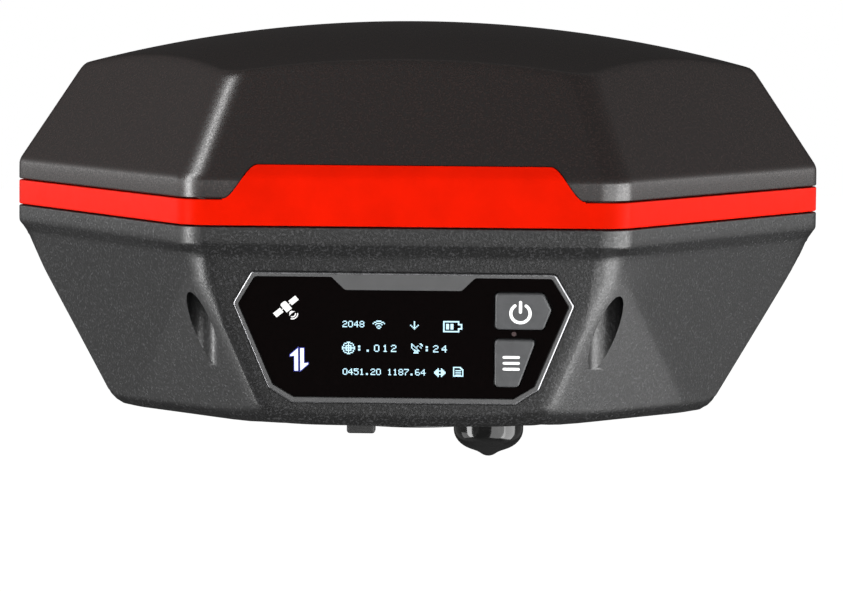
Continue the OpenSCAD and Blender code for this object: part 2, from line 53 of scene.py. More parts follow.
TAN30 = tan(radians(30))

# ---------- sizes in millimetres, in the frame's own axes ----------


def node_box(node):
    low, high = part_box(node)
    return low / MM, high / MM


band_low, band_high = node_box("bumper_band")
cover_high = node_box("top_cover")[1]
RIM = band_high.y                       # apothem of the rims
RIM_FILLET = 7.0
PARTING = band_low.z
TAB_TOP = band_high.z
BAND_TOP = PARTING + 4.85
LIP_TOP = BAND_TOP + 3.7
CROWN = cover_high.z
DOME_R = 245.0
SLOPE = 0.5797                          # how far the cover's faces lean in for each unit of height
WALL = 2.6
SKIRT = RIM - 3.1
SKIRT_T = 2.8
BASE = 4.8
RIM_BOTTOM = 38.0
KNEE_Z = 35.9
KNEE = 65.7
FACE_TILT = 12.0
FACE_LEAN = tan(radians(FACE_TILT))
CORNER_AZ, CORNER_LEAN, CORNER_AP = 48.7, tan(radians(24.6)), 71.9
SIDE_LEAN, SIDE_AP = tan(radians(32.7)), 75.6
FOOT_R = 57.6
FOOT_CURVE = 30.0
PANEL_Z = 20.8
PANEL_AP = KNEE - FACE_LEAN * (KNEE_Z - PANEL_Z)
SEAM = 0.12                             # half the gap that shows between two housing parts

insert_high = node_box("mount_insert")[1]
BOSS_R = 13.3
INSERT_R = 11.0
THREAD_R = 7.94
THREAD_DEPTH = 16.0
THREAD_PITCH = 25.4 / 11
INSERT_SCREW_TURNS = [radians(45 + 90 * k) for k in range(4)]
INSERT_SCREW_PLACES = [(15.2 * cos(a), 15.2 * sin(a)) for a in INSERT_SCREW_TURNS]

jack_low, jack_high = node_box("antenna_connector")
JACK_X = (jack_low.x + jack_high.x) / 2
JACK_Y = (jack_low.y + jack_high.y) / 2
JACK_R = 5.5
JACK_PITCH = 25.4 / 28
CAP_R = 6.5

screw_high = node_box("housing_screws")[1]
SCREW_HEAD_R = 2.7
WELL_R = 3.1
WELL_X = screw_high.x - SCREW_HEAD_R
WELL_Y = screw_high.y - SCREW_HEAD_R
WELL_SEAT = 34.0

pin_low, pin_high = node_box("cover_hinge_pin")
PORT_X = (pin_low.x + pin_high.x) / 2
PORT_HINGE = ((pin_low.y + pin_high.y) / 2, (pin_low.z + pin_high.z) / 2)
PORT_Y = -39.0

# ---------- mesh helpers ----------


def new_object(name, verts, faces):
    """A mesh from points in millimetres, with its faces turned outwards."""
    bm = bmesh.new()
    made = [bm.verts.new(Vector(v) * MM) for v in verts]
    for face in faces:
        bm.faces.new([made[i] for i in face])
    bmesh.ops.recalc_face_normals(bm, faces=bm.faces)
    mesh = bpy.data.meshes.new(name)
    bm.to_mesh(mesh)
    bm.free()
    obj = bpy.data.objects.new(name, mesh)
    scene.collection.objects.link(obj)
    return obj


def quads(n, first, second):
    """Faces between two closed rows of n points, each row given by the number of its first point."""
    return [(first + i, first + (i + 1) % n, second + (i + 1) % n, second + i) for i in range(n)]


def lofted(name, rows, start=None, end=None):
    """A skin through closed rows of equal length. start and end are the points that close it."""
    n = len(rows[0])
    last = (len(rows) - 1) * n
    verts = [p for row in rows for p in row]
    faces = [quad for k in range(len(rows) - 1) for quad in quads(n, k * n, (k + 1) * n)]
    if start is not None:
        verts.append(start)
        faces += [((i + 1) % n, i, len(verts) - 1) for i in range(n)]
    if end is not None:
        verts.append(end)
        faces += [(last + i, last + (i + 1) % n, len(verts) - 1) for i in range(n)]
    if start is None and end is None:
        faces += quads(n, last, 0)
    return new_object(name, verts, faces)


def circle(r, n, x=0.0, y=0.0):
    return [(x + r * cos(tau * i / n), y + r * sin(tau * i / n)) for i in range(n)]


def rectangle(x0, y0, x1, y1):
    return [(x0, y0), (x1, y0), (x1, y1), (x0, y1)]


def ring_row(r, z, centre, n=72):
    return [(x, y, z) for x, y in circle(r, n, *centre)]


def revolved(name, profile, centre=(0, 0), n=96):
    """Turns a closed (radius, height) profile about a vertical axis; radius 0 becomes a pole."""
    rows = [ring_row(r, z, centre, n) for r, z in profile if r > 1e-6]
    poles = [(*centre, z) for r, z in (profile[0], profile[-1]) if r <= 1e-6]
    if len(poles) == 2:
        return lofted(name, rows, *poles)
    return lofted(name, rows)


def prism(name, outline, w0, w1, matrix=Matrix.Identity(4)):
    """An outline in a plane, given thickness along that plane's normal, then put in place."""
    n = len(outline)
    verts = [matrix @ Vector((u, v, w)) for w in (w0, w1) for u, v in outline]
    faces = [tuple(range(n - 1, -1, -1)), tuple(range(n, 2 * n))] + quads(n, 0, n)
    return new_object(name, verts, faces)


def block(name, low, high):
    """A box between two corners."""
    return prism(name, rectangle(low[0], low[1], high[0], high[1]), low[2], high[2])


def rod(name, r, z0, z1, x=0.0, y=0.0, n=64):
    return revolved(name, [(0, z0), (r, z0), (r, z1), (0, z1)], (x, y), n)


def settle(obj):
    """Replaces the object's mesh with the result of its modifiers."""
    bpy.context.view_layer.update()
    evaluated = obj.evaluated_get(bpy.context.evaluated_depsgraph_get())
    mesh = bpy.data.meshes.new_from_object(evaluated)
    obj.modifiers.clear()
    obj.data = mesh
    return obj


def combine(obj, others, operation):
    for other in others:
        change = obj.modifiers.new("combine", "BOOLEAN")
        change.operation = operation
        change.solver = "MANIFOLD"
        change.object = other
        settle(obj)
        bpy.data.objects.remove(other)
    return obj


def cut(obj, *others):
    return combine(obj, others, "DIFFERENCE")


def add(obj, *others):
    return combine(obj, others, "UNION")


def bevel(obj, width, segments=3, angle=40, material=-1):
    change = obj.modifiers.new("bevel", "BEVEL")
    change.width = width * MM
    change.segments = segments
    change.limit_method = "ANGLE"
    change.angle_limit = radians(angle)
    change.material = material
    change.use_clamp_overlap = True
    return settle(obj)


def finish_piece(obj, body, materials, replaces=(), angle=35):
    """Smooths a piece, gives it its materials and ties it to its body."""
    if not isinstance(materials, (list, tuple)):
        materials = [materials]
    for index, material in enumerate(materials):
        if index < len(obj.data.materials):
            obj.data.materials[index] = material
        else:
            obj.data.materials.append(material)
    obj.data.shade_smooth()
    obj.data.set_sharp_from_angle(angle=radians(angle))
    weighted = obj.modifiers.new("weighted", "WEIGHTED_NORMAL")
    weighted.keep_sharp = True
    settle(obj)
    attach(obj, body)
    if replaces:
        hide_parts(*replaces)
    return obj


def bezier(p0, p1, p2, n):
    """Points along a quadratic curve, without its first one."""
    return [tuple((1 - t) ** 2 * a + 2 * t * (1 - t) * b + t * t * c for a, b, c in zip(p0, p1, p2))
            for t in (k / n for k in range(1, n + 1))]


def spread(a, b, n):
    """n + 1 values from a to b, closer together at both ends."""
    return [a + (b - a) * (1 - cos(pi * k / n)) / 2 for k in range(n + 1)]


def smooth_min(a, b, k):
    h = max(k - abs(a - b), 0.0) / k
    return min(a, b) - h * h * k / 4


def smooth_step(t):
    t = min(max(t, 0.0), 1.0)
    return t * t * (3 - 2 * t)


# ---------- materials ----------


class Nodes:
    """A node tree, with short ways to add to it."""

    def __init__(self, tree):
        self.tree = tree

    def node(self, kind, **inputs):
        """A new node. An underscore in an input's name stands for a space."""
        made = self.tree.nodes.new(kind)
        for name, value in inputs.items():
            made.inputs[name.replace("_", " ")].default_value = value
        return made

    def link(self, a, b):
        self.tree.links.new(a, b)

    def formula(self, operation, *values):
        """A maths node. Each value is a number or another node's output."""
        made = self.node("ShaderNodeMath")
        made.operation = operation
        for socket, value in zip(made.inputs, values):
            if isinstance(value, float):
                socket.default_value = value
            else:
                self.link(value, socket)
        return made.outputs[0]

    def ramp(self, value, stops):
        """Blends between (position, colour or grey) stops."""
        made = self.node("ShaderNodeValToRGB")
        points = made.color_ramp.elements
        while len(points) < len(stops):
            points.new(0.5)
        for point, (position, color) in zip(points, stops):
            point.position = position
            point.color = (*color, 1) if isinstance(color, (tuple, list)) else (color, color, color, 1)
        self.link(value, made.inputs["Fac"])
        return made.outputs["Color"]


class Look(Nodes):
    """A procedural material. Its helpers add nodes that feed the principled shader."""

    def __init__(self, name, color, roughness, metallic=0.0, ior=1.5, coat=0.0, specular=0.5):
        self.material = bpy.data.materials.new(name)
        self.material.use_nodes = True
        super().__init__(self.material.node_tree)
        self.shader = self.tree.nodes["Principled BSDF"]
        for socket, value in (("Base Color", (*color, 1)), ("Roughness", roughness), ("Metallic", metallic),
                              ("IOR", ior), ("Coat Weight", coat), ("Specular IOR Level", specular)):
            self.set(socket, value)
        self.color = color
        self.place = self.node("ShaderNodeTexCoord").outputs["Object"]

    def set(self, socket, value):
        self.shader.inputs[socket].default_value = value

    def noise(self, per_metre, detail=2.0, roughness=0.5, stretch=None):
        made = self.node("ShaderNodeTexNoise", Scale=per_metre, Detail=detail, Roughness=roughness)
        source = self.place
        if stretch:
            mapping = self.node("ShaderNodeMapping", Scale=stretch)
            self.link(source, mapping.inputs["Vector"])
            source = mapping.outputs["Vector"]
        self.link(source, made.inputs["Vector"])
        return made.outputs["Fac"]

    def mottled(self, value, low, high, start=0.3, end=0.7):
        """The base colour drifts between two multiples of itself."""
        shades = [(start, [c * low for c in self.color]), (end, [min(c * high, 1) for c in self.color])]
        self.link(self.ramp(value, shades), self.shader.inputs["Base Color"])

    def rough(self, value, low, high, start=0.3, end=0.7):
        self.link(self.ramp(value, [(start, low), (end, high)]), self.shader.inputs["Roughness"])

    def bumps(self, *layers):
        """Each layer is (height, depth in millimetres, strength)."""
        normal = None
        for height, depth, strength in layers:
            made = self.node("ShaderNodeBump", Strength=strength, Distance=depth * MM)
            self.link(height, made.inputs["Height"])
            if normal:
                self.link(normal, made.inputs["Normal"])
            normal = made.outputs["Normal"]
        self.link(normal, self.shader.inputs["Normal"])


def textured_plastic(name, color, crest_glint, roughness, grain=1700, depth=0.05, specular=0.6):
    """Moulded plastic with a spark-eroded grain and a rough, glinting surface. Its colour is darkened in the
    pits as painted shade and lightened on the crests as painted glints.
    """
    look = Look(name, color, roughness, specular=specular)
    coarse = look.noise(grain, 2.0, 0.7)
    # painted shade in the grain's pits (0.35 of the colour) and painted glints on its crests (the last, paler
    # colour)
    shades = [(0.40, [c * 0.35 for c in color]), (0.52, color), (0.64, crest_glint)]
    look.link(look.ramp(coarse, shades), look.shader.inputs["Base Color"])
    look.rough(coarse, roughness + 0.10, roughness - 0.06, 0.35, 0.65)
    fine = look.noise(grain * 2.4)
    look.bumps((coarse, depth, 0.9), (fine, depth * 0.3, 0.6), (look.noise(300), 0.02, 0.3))
    return look.material


def satin_plastic(name, color, roughness=0.42, coat=0.0, specular=0.5, tint=(1, 1, 1)):
    look = Look(name, color, roughness, coat=coat, specular=specular)
    look.set("Coat Roughness", 0.2)
    look.set("Specular Tint", (*tint, 1))
    look.mottled(look.noise(160, 4.0, 0.6), 0.92, 1.06)
    look.rough(look.noise(500, 3.0), roughness - 0.05, roughness + 0.05)
    look.bumps((look.noise(2600, 2.0), 0.012, 0.5), (look.noise(70, 2.0), 0.05, 0.25))
    return look.material


def gloss_black(name, color, roughness):
    look = Look(name, color, roughness)
    look.mottled(look.noise(1500, 3.0), 0.8, 1.25)
    look.rough(look.noise(350, 4.0, 0.6), roughness, roughness + 0.05, 0.45, 0.75)
    look.bumps((look.noise(120, 1.0), 0.01, 0.15))
    return look.material


def soft_rubber(name, color, roughness=0.62):
    look = Look(name, color, roughness, ior=1.45)
    look.mottled(look.noise(700, 4.0, 0.6), 0.88, 1.12)
    look.rough(look.noise(900, 2.0), roughness - 0.06, roughness + 0.06)
    look.bumps((look.noise(4200, 2.0), 0.015, 0.6))
    return look.material


def metal(name, color, roughness=0.3, brushed=(1, 1, 12), depth=0.006):
    look = Look(name, color, roughness, metallic=1.0)
    grain = look.noise(900, 4.0, 0.6, brushed)
    look.mottled(grain, 0.86, 1.08)
    look.rough(grain, roughness - 0.08, roughness + 0.10)
    look.bumps((grain, depth, 0.5))
    return look.material


def circuit(name):
    look = Look(name, (0.012, 0.10, 0.045), 0.35, coat=0.3)
    look.set("Coat Roughness", 0.15)
    tracks = look.node("ShaderNodeTexBrick", Scale=260, Mortar_Size=0.035, Color1=(0.010, 0.090, 0.040, 1),
                       Color2=(0.014, 0.120, 0.052, 1), Mortar=(0.040, 0.210, 0.095, 1))
    look.link(look.place, tracks.inputs["Vector"])
    look.link(tracks.outputs["Color"], look.shader.inputs["Base Color"])
    look.bumps((tracks.outputs["Fac"], 0.02, 0.4))
    return look.material


def glowing(name, color, strength, noise_depth=0.12):
    look = Look(name, (0.02, 0.02, 0.02), 0.4)
    look.set("Emission Color", (*color, 1))
    look.set("Emission Strength", strength)
    shade = look.ramp(look.noise(900, 2.0), [(0.3, [c * (1 - noise_depth) for c in color]), (0.7, color)])
    look.link(shade, look.shader.inputs["Emission Color"])
    return look.material


def clear_plastic(name):
    look = Look(name, (0.80, 0.86, 0.90), 0.12)
    look.set("Transmission Weight", 0.6)
    look.rough(look.noise(400, 2.0), 0.08, 0.2)
    return look.material


# the second colour of each textured plastic is a painted glint on the grain's crests
HOUSING = textured_plastic("housing_plastic", (0.0036, 0.0036, 0.0037), (0.033, 0.033, 0.034), 0.33,
                           grain=2200, depth=0.05, specular=0.6)
COVER = textured_plastic("cover_plastic", (0.0080, 0.0042, 0.0036), (0.017, 0.0110, 0.0100), 0.29,
                         grain=2600, depth=0.010, specular=0.75)
BAND = satin_plastic("band_red", (0.50, 0.0060, 0.0006), 0.33, specular=0.08, tint=(1, 0.12, 0.05))
BEZEL = satin_plastic("bezel_satin", (0.058, 0.058, 0.059), 0.42)
BEZEL_EDGE = metal("bezel_polished", (0.30, 0.30, 0.31), 0.26, (1, 1, 1), 0.002)
WINDOW = gloss_black("window_black", (0.0012, 0.0006, 0.0006), 0.03)
KEYS = soft_rubber("key_grey", (0.050, 0.051, 0.053), 0.50)
PRINT = satin_plastic("print_white", (0.86, 0.86, 0.86), 0.5)
OLED = glowing("display_light", (0.55, 0.86, 1.0), 1.5)
LAMP_WHITE = glowing("lamp_white", (1.0, 0.99, 0.98), 1.2)
LAMP_BLUE_CORE = glowing("lamp_blue_core", (0.80, 0.86, 1.0), 1.6)
LAMP_BLUE = glowing("lamp_blue_halo", (0.03, 0.05, 0.80), 0.55, 0.3)
LAMP_RED = glowing("lamp_red_dim", (0.25, 0.004, 0.006), 0.12)
VINYL = gloss_black("cap_vinyl", (0.006, 0.006, 0.006), 0.10)
RUBBER = soft_rubber("port_rubber", (0.014, 0.014, 0.014))
SEAL = soft_rubber("seal_rubber", (0.018, 0.018, 0.018), 0.7)
STEEL = metal("steel", (0.58, 0.58, 0.60), 0.28)
BRASS = metal("brass", (0.78, 0.56, 0.20), 0.24, (1, 1, 10))
ALUMINIUM = metal("aluminium", (0.76, 0.77, 0.78), 0.32, (1, 12, 1))
SHIELD = metal("shield_can", (0.66, 0.67, 0.68), 0.34, (8, 1, 1))
CIRCUIT = circuit("circuit_board")
CERAMIC = satin_plastic("patch_ceramic", (0.70, 0.64, 0.50), 0.5)
CHIP = soft_rubber("chip_plastic", (0.018, 0.018, 0.019), 0.55)
CABLE = satin_plastic("cable_black", (0.02, 0.02, 0.022), 0.45)
CABLE_RED = satin_plastic("cable_red", (0.45, 0.02, 0.015), 0.45)
CELL = satin_plastic("cell_wrap", (0.04, 0.14, 0.42), 0.30, 0.4)
# the second colour here is also a painted glint on the grain's crests
CRADLE = textured_plastic("cradle_plastic", (0.02, 0.02, 0.02), (0.05, 0.05, 0.05), 0.55)
FOAM = soft_rubber("foam", (0.03, 0.03, 0.03), 0.9)
INSULATOR = satin_plastic("insulator", (0.82, 0.82, 0.80), 0.4)
RIBBON = satin_plastic("ribbon_film", (0.55, 0.24, 0.04), 0.3, 0.5)
GLASS_BLACK = gloss_black("display_glass", (0.006, 0.010, 0.014), 0.08)
GUIDE = clear_plastic("light_guide")

SLOT_LOOKS = {
    "housing": HOUSING, "cover": COVER, "band": BAND, "seal": SEAL, "steel": STEEL, "bezel": BEZEL,
    "window": WINDOW, "display_glass": GLASS_BLACK, "foam": FOAM, "circuit_board": CIRCUIT,
    "light_guide": GUIDE, "ribbon": RIBBON, "shield_can": SHIELD, "chip": CHIP, "ceramic_chip": CERAMIC,
    "aluminium": ALUMINIUM, "brass": BRASS, "cable": CABLE, "cable_red": CABLE_RED, "cell_wrap": CELL,
    "cradle": CRADLE, "insulator": INSULATOR, "keys": KEYS, "vinyl": VINYL, "rubber": RUBBER,
}
for part in frame["record"]["subparts"]:
    carried = frame["nodes"][part["node"]]
    carried.data.materials.clear()
    carried.data.materials.append(SLOT_LOOKS[part["material_slot"]])

# ---------- the six-sided plan ----------


def ring_rule(arc_n=10, flat_n=22):
    """Each column of a rounded hexagon as (a, b): its point at an apothem is apothem * a + b."""
    rule = []
    arcs = []
    for side in range(6):
        middle = radians(60 * side)
        corner = Vector((cos(middle), sin(middle))) / COS30
        turns = [middle + radians(60 * (k / arc_n - 0.5)) for k in range(arc_n + 1)]
        arcs.append([(corner, RIM_FILLET * (Vector((cos(t), sin(t))) - corner)) for t in turns])
    for side in range(6):
        rule += arcs[side]
        (a0, b0), (a1, b1) = arcs[side][-1], arcs[(side + 1) % 6][0]
        rule += [(a0.lerp(a1, k / flat_n), b0.lerp(b1, k / flat_n)) for k in range(1, flat_n)]
    return rule


RULE = ring_rule()


def hex_row(apothem, z):
    return [(*(a * apothem + b), z) for a, b in RULE]


def dome_z(x, y, radius):
    return CROWN - DOME_R + sqrt(radius * radius - x * x - y * y)


def crease_apothem(column, lip_apothem, radius):
    """Where one column of the slope meets the dome."""
    a, b = column
    low, high = 30.0, lip_apothem
    for _ in range(40):
        mid = (low + high) / 2
        point = a * mid + b
        if LIP_TOP + (lip_apothem - mid) / SLOPE > dome_z(point.x, point.y, radius):
            low = mid
        else:
            high = mid
    return high


def roof_rows(lip_apothem, radius, blend, slope_n=8, crease_n=10, dome_n=22):
    """Rows of the slopes and the dome, with the crease between them rounded."""
    creases = [crease_apothem(column, lip_apothem, radius) for column in RULE]
    steps = [("slope", k / slope_n) for k in range(1, slope_n)]
    steps += [("crease", k / crease_n) for k in range(crease_n + 1)]
    steps += [("dome", 1 - k / dome_n) for k in range(1, dome_n)]
    start = lip_apothem - 0.5
    reach = 2.2 * blend
    rows = []
    for zone, t in steps:
        row = []
        for (a, b), crease in zip(RULE, creases):
            if zone == "slope":
                apothem = start + (crease + reach - start) * t
            else:
                apothem = crease + reach * (1 - 2 * (t if zone == "crease" else 1.0))
            point = a * apothem + b
            if zone == "dome":
                point = point * t
            slope_z = LIP_TOP + (lip_apothem - apothem) / SLOPE
            z = dome_z(point.x, point.y, radius)
            if zone != "dome":
                z = smooth_min(slope_z, z, blend)
            row.append((point.x, point.y, z))
        rows.append(row)
    return rows


def top_cover():
    """The cover: rounded lip, six slopes, soft crease, domed roof, and the skirt behind the band."""
    bottom = BAND_TOP + SEAM
    edge = [(RIM - 0.3, bottom)] + bezier((RIM - 0.3, bottom), (RIM, bottom), (RIM, bottom + 0.3), 3)
    lip_end = (RIM - 0.5, LIP_TOP + 0.5 / SLOPE)
    edge += [(RIM, LIP_TOP - 1.6)] + bezier((RIM, LIP_TOP - 0.9), (RIM, LIP_TOP), lip_end, 6)
    outer = [hex_row(apothem, z) for apothem, z in edge] + roof_rows(RIM, DOME_R, 1.1)
    inner_lip = RIM - WALL
    inside = roof_rows(inner_lip, DOME_R - WALL, 0.8, 3, 4, 8)
    skirt = [(RIM - 0.3, bottom), (SKIRT, bottom), (SKIRT, PARTING + 0.4), (SKIRT - SKIRT_T, PARTING + 0.4),
             (SKIRT - SKIRT_T, BAND_TOP + 0.5), (inner_lip, BAND_TOP + 0.8), (inner_lip, LIP_TOP - 0.5)]
    inner = [hex_row(apothem, z) for apothem, z in skirt[1:]] + inside
    shell = lofted("top_cover_shell", outer[::-1] + inner, (0, 0, CROWN), (0, 0, CROWN - WALL))
    cut(shell, tab_solid("tab_space", SEAM, 1.5, 3.0))
    return finish_piece(shell, "receiver", COVER, ["top_cover"], 30)


TAB_HALF, TAB_RUN = 26.0, 6.3


def tab_solid(name, grow, depth, proud=0.14):
    """The band's raised front section: it follows the lip and the slope, with an S-curve at each end.

    grow widens it all round, and proud lifts it off the cover's slope."""
    rise = TAB_TOP - BAND_TOP
    steps = 24
    rows = []
    for k in range(-4, steps + 1):
        t = max(k, 0) / steps
        z = BAND_TOP + rise * smooth_step(t) + (grow if k > 0 else 0)
        if k < 0:
            z = BAND_TOP + k * 0.6
        rows.append((TAB_HALF + TAB_RUN * (1 - t) + grow, z))
    lines = []
    for half, z in rows:
        over = max(z - LIP_TOP, 0)
        lean = -smooth_min(0.0, -SLOPE * (z - LIP_TOP), 0.7)
        front = -RIM + lean - proud * min(max((z - LIP_TOP + 0.8) / 1.2, 1.0 if grow else 0.0), 1.0)
        back = -RIM + depth + over * SLOPE
        width = [half * (k / 20 - 1) for k in range(41)]
        lines.append([(x, front, z) for x in width] + [(x, back, z) for x in reversed(width)])
    n = len(lines[0])
    last = (len(lines) - 1) * n
    verts = [p for line in lines for p in line]
    faces = [quad for k in range(len(lines) - 1) for quad in quads(n, k * n, (k + 1) * n)]
    faces += [tuple(range(n)), tuple(range(last, last + n))]
    return new_object(name, verts, faces)


def bumper_band():
    low, high, back = PARTING + SEAM, BAND_TOP - SEAM, SKIRT + 0.1
    edge = [(back, low), (RIM - 0.3, low)] + bezier((RIM - 0.3, low), (RIM, low), (RIM, low + 0.3), 3)
    edge += [(RIM, high - 0.3)] + bezier((RIM, high - 0.3), (RIM, high), (RIM - 0.3, high), 3)
    edge += [(back, high)]
    ring = lofted("bumper_band_ring", [hex_row(apothem, z) for apothem, z in edge])
    tab = bevel(tab_solid("tab", 0.0, 1.3), 0.22, 3, 55)
    add(ring, tab)
    return finish_piece(ring, "receiver", BAND, ["bumper_band"], 30)


# ---------- the faceted lower housing ----------


def hex_radius(turn, apothem, fillet):
    """Distance to a rounded hexagon in a direction, in degrees from the middle of its front face."""
    off = abs((turn + 30) % 60 - 30)
    inner = apothem - fillet
    if tan(radians(off)) <= inner * TAN30 / apothem:
        return apothem / cos(radians(off))
    lean = radians(30 - off)
    far = inner / COS30
    return far * cos(lean) + sqrt(max(fillet ** 2 - (far * sin(lean)) ** 2, 0))


def plane_cross(az1, ap1, az2, ap2):
    """The direction, in degrees, in which two upright lines given by azimuth and apothem meet."""
    s1, c1, s2, c2 = (f(radians(a)) for a in (az1, az2) for f in (sin, cos))
    det = s1 * c2 - s2 * c1
    return degrees(atan2((ap1 * c2 - ap2 * c1) / det, (s1 * ap2 - s2 * ap1) / det))


def facets(z, inset):
    """Azimuth and apothem of the lower facets at a height, over one quarter of the housing."""
    drop = KNEE_Z - z
    return [(0, KNEE - FACE_LEAN * drop - inset), (CORNER_AZ, CORNER_AP - CORNER_LEAN * drop - inset),
            (60, KNEE - FACE_LEAN * drop - inset), (90, SIDE_AP - SIDE_LEAN * drop - inset)]


def facet_radius(turn, z, inset):
    """Distance to the facets in a direction. The front edges are softly rounded, the side ones crisper."""
    turn = turn % 180
    turn = min(turn, 180 - turn)
    corner = smooth_step((z - 28) / (KNEE_Z - 28))
    front = smooth_step((z - 25) / (KNEE_Z - 25))
    roundings = [0, 1.3 + 2.0 * front, 0.4 + 2.9 * corner, 0.5 + 2.8 * corner]
    value = None
    for (azimuth, apothem), rounding in zip(facets(z, inset), roundings):
        if abs(turn - azimuth) >= 75:
            continue
        reach = apothem / cos(radians(turn - azimuth))
        value = reach if value is None else smooth_min(value, reach, rounding)
    return value


SECTORS = (16, 12, 8, 10, 6)            # columns on the front face, corner facet, side face and side facet
ARC = 2.6                               # half of the turn that a corner takes up, in degrees
WALL_TOP = KNEE_Z - 0.7                 # where the facets begin below the knee's fillet
STRIP, STRIP_LEAD = 2.0, 0.6            # height of the foot's rounding, and the run that leads into it
UNDERSIDE_R, UNDERSIDE_ROWS = 20, 12


def turns_at(z, inset=0.0):
    """The columns' directions at a height. They follow the facets' edges, and crowd towards them."""
    f, t, s, e = facets(min(z, KNEE_Z), inset)
    first = min(plane_cross(*f, *t), 30 - ARC)
    second = max(plane_cross(*t, *s), 30 + ARC)
    third = min(plane_cross(*s, *e), 90 - ARC)
    stops = [0, first, second, max(min((second + third) / 2, third), second + 1), third, 90]
    quarter = []
    for k, count in enumerate(SECTORS):
        quarter += spread(stops[k], stops[k + 1], count)[:-1]
    right = quarter + [90] + [180 - q for q in reversed(quarter)]
    return right + [360 - q for q in reversed(right[1:-1])]


def polar(turn, r, z):
    """The point at a direction, in degrees from the middle of the front face, and a radius."""
    return (r * sin(radians(turn)), -r * cos(radians(turn)), z)


def foot_height(radius):
    return BASE + max(radius - FOOT_R, 0) ** 2 / FOOT_CURVE


def foot_corner(column):
    """The height at which one column's wall meets the curved underside."""
    low, high = BASE, 16.0
    for _ in range(30):
        mid = (low + high) / 2
        if foot_height(facet_radius(turns_at(mid)[column], mid, 0)) > mid:
            low = mid
        else:
            high = mid
    return high


def rim_rows():
    """Rows down the rim and over the chamfer below it, to the knee."""
    top = PARTING - SEAM
    rim = [(RIM - 0.3, top)] + bezier((RIM - 0.3, top), (RIM, top), (RIM, top - 0.3), 3)
    rim += [(RIM, RIM_BOTTOM + 0.9)]
    rim += bezier((RIM, RIM_BOTTOM + 0.5), (RIM, RIM_BOTTOM), (RIM - 0.36, RIM_BOTTOM - 0.45), 4)
    rows = [[polar(t, hex_radius(t, apothem, RIM_FILLET), z) for t in turns_at(z)] for apothem, z in rim]
    knee = [(KNEE + 0.5, KNEE_Z + 0.65)]
    knee += bezier(knee[0], (KNEE, KNEE_Z), (KNEE - 0.1, WALL_TOP), 4)[:-1]
    for apothem, z in knee:
        rows.append([polar(t, facet_radius(t, KNEE_Z, KNEE - apothem), z) for t in turns_at(KNEE_Z)])
    return rows


def wall_rows(corners, steps=22):
    """Rows down the facets, from the knee to just above the rounded foot."""
    rows = []
    for k in range(steps + 1):
        row = []
        for column, corner in enumerate(corners):
            z = WALL_TOP + (corner + STRIP + STRIP_LEAD - WALL_TOP) * k / steps
            turn = turns_at(z)[column]
            row.append(polar(turn, facet_radius(turn, z, 0), z))
        rows.append(row)
    return rows


def foot_edge(turn, z):
    """One column's (radius, height) path around the lower edge, whose unrounded corner is at height z."""
    wall_top = (facet_radius(turn, z + STRIP + STRIP_LEAD, 0), z + STRIP + STRIP_LEAD)
    wall_end = (facet_radius(turn, z + STRIP, 0), z + STRIP)
    corner_r = facet_radius(turn, z, 0)
    foot, foot_in = ((corner_r - reach, foot_height(corner_r - reach)) for reach in (1.6, 2.7))
    pull = (corner_r - foot[0], z - wall_end[1])
    middle = tuple((w * 0.5 + f * 0.5) + p * 0.10 for w, f, p in zip(wall_end, foot, pull))
    upper, lower = (tuple(a * 0.7 + b * 0.3 for a, b in zip(end, middle)) for end in (wall_end, foot))
    return bezier(wall_top, wall_end, upper, 4) + [middle] + bezier(lower, foot, foot_in, 4)


def housing_body():
    """The outside of the lower housing as one closed solid."""
    corners = [foot_corner(column) for column in range(len(turns_at(KNEE_Z)))]
    turns = [turns_at(z)[column] for column, z in enumerate(corners)]
    edges = [foot_edge(turn, z) for turn, z in zip(turns, corners)]
    rows = rim_rows() + wall_rows(corners)
    rows += [[polar(turn, *edge[j]) for turn, edge in zip(turns, edges)] for j in range(len(edges[0]))]
    for k in range(1, UNDERSIDE_ROWS + 1):
        radii = [edge[-1][0] + (UNDERSIDE_R - edge[-1][0]) * k / UNDERSIDE_ROWS for edge in edges]
        rows.append([polar(turn, radius, foot_height(radius)) for turn, radius in zip(turns, radii)])
    return lofted("bottom_housing_shell", rows, (0, 0, PARTING - SEAM), (0, 0, BASE))


def housing_cavity():
    """The space inside the lower housing."""
    rows = []
    for apothem, z in [(RIM - 6.1, PARTING + 2), (RIM - 6.1, PARTING - 1), (KNEE - WALL, KNEE_Z)]:
        rows.append([polar(t, hex_radius(t, apothem, 4), z) for t in turns_at(z)])
    floor = BASE + WALL
    for k in range(1, 13):
        z = KNEE_Z - 0.5 + (floor - KNEE_Z + 0.5) * k / 12
        rows.append([polar(t, facet_radius(t, z, WALL), z) for t in turns_at(z)])
    return lofted("cavity", rows, (0, 0, PARTING + 2), (0, 0, floor))


PANEL = Matrix.Translation((0, -PANEL_AP, PANEL_Z)) @ Matrix.Rotation(radians(90 + FACE_TILT), 4, "X")


def rounded(points, radius, n=6):
    """A polygon with every corner rounded; a pair (point, radius) sets one corner's own radius."""
    out = []
    count = len(points)
    for i in range(count):
        a, b, c = (Vector(points[(i + k) % count]) for k in (-1, 0, 1))
        back, ahead = (a - b).normalized(), (c - b).normalized()
        half = back.angle(ahead) / 2
        reach = min(radius / tan(half), (a - b).length * 0.48, (c - b).length * 0.48)
        out.append(tuple(b + back * reach))
        out += bezier(b + back * reach, b, b + ahead * reach, n)
    return out


def grown(points, distance):
    """A polygon moved outwards by a distance. Its points run anticlockwise."""
    out = []
    count = len(points)
    for i in range(count):
        a, b, c = (Vector(points[(i + k) % count]) for k in (-1, 0, 1))
        n1 = Vector(((b - a).y, -(b - a).x)).normalized()
        n2 = Vector(((c - b).y, -(c - b).x)).normalized()
        middle = (n1 + n2) / (1 + n1.dot(n2))
        out.append(tuple(b + middle * distance))
    return out


